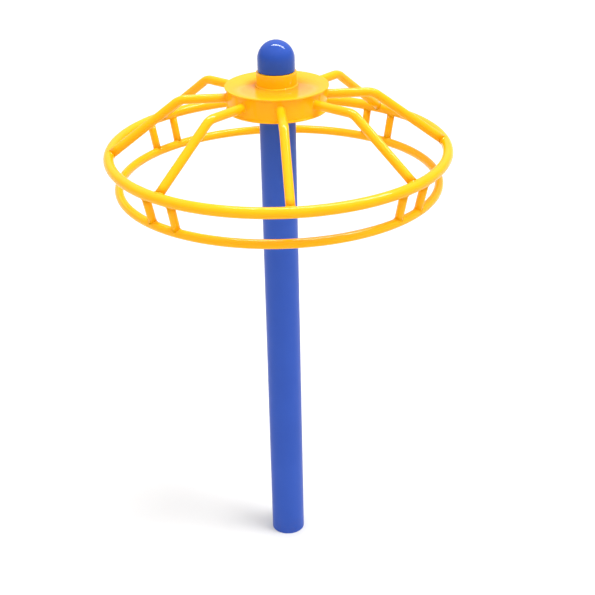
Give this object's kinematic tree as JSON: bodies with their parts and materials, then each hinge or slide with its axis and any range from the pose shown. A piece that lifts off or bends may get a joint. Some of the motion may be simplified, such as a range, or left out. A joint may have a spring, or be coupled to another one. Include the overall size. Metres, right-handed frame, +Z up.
{
  "type": "overhead merry go round",
  "caption": "Overhead merry go round: a fixed round post carries a free-spinning hub whose bent spokes hold two stacked hand rings to hang from, with a domed post cap.",
  "frame": {"origin": "centre of the post's foot at ground level", "axes": "+Z up along the turning axis; one spoke lies along +X"},
  "size_m": [1.2288, 1.229, 2.011],
  "materials": {
    "post_coat": "gloss powder coat over steel",
    "cap_coat": "high-gloss powder coat over cast metal",
    "head_coat": "gloss powder coat over steel",
    "spindle_steel": "turned",
    "bearing_steel": "ground and polished",
    "cage_brass": "machined",
    "zinc_hardware": "bright zinc plated",
    "seal_rubber": "matte"
  },
  "bodies": {
    "post": {"post": "post_coat", "post_top_plate": "post_coat", "spindle_guide_plate": "spindle_steel", "spindle": "spindle_steel", "bearing_spacer": "spindle_steel", "lock_washer": "zinc_hardware", "lock_nut": "zinc_hardware", "cap_stud": "zinc_hardware", "post_cap": "cap_coat", "lower_bearing_inner_race": "bearing_steel", "upper_bearing_inner_race": "bearing_steel"},
    "head": {"bearing_housing": "head_coat", "hub_bottom_plate": "head_coat", "hub_top_plate": "head_coat", "hub_drum": "head_coat", "lower_seal": "seal_rubber", "upper_seal": "seal_rubber", "lower_bearing_outer_race": "bearing_steel", "upper_bearing_outer_race": "bearing_steel", "upper_ring": "head_coat", "lower_ring": "head_coat", "spoke_1": "head_coat", "spoke_2": "head_coat", "spoke_3": "head_coat", "spoke_4": "head_coat", "spoke_5": "head_coat", "spoke_6": "head_coat", "spoke_7": "head_coat", "spoke_8": "head_coat", "strut_1": "head_coat", "strut_2": "head_coat", "strut_3": "head_coat", "strut_4": "head_coat", "strut_5": "head_coat", "strut_6": "head_coat", "strut_7": "head_coat", "strut_8": "head_coat"},
    "lower_cage": {"lower_bearing_cage": "cage_brass", "lower_bearing_balls": "bearing_steel"},
    "upper_cage": {"upper_bearing_cage": "cage_brass", "upper_bearing_balls": "bearing_steel"}
  },
  "joints": [
    {"name": "head_spin", "type": "hinge", "parent": "post", "child": "head", "pos_m": [0, 0, 1.832], "axis": [0, 0, 1], "continuous": true},
    {"name": "lower_cage_spin", "type": "hinge", "parent": "post", "child": "lower_cage", "pos_m": [0, 0, 1.789], "axis": [0, 0, 1], "continuous": true},
    {"name": "upper_cage_spin", "type": "hinge", "parent": "post", "child": "upper_cage", "pos_m": [0, 0, 1.875], "axis": [0, 0, 1], "continuous": true}
  ],
  "couplings": [
    {"joint": "lower_cage_spin", "follows": "head_spin", "ratio": 0.59338},
    {"joint": "upper_cage_spin", "follows": "head_spin", "ratio": 0.59338}
  ]
}
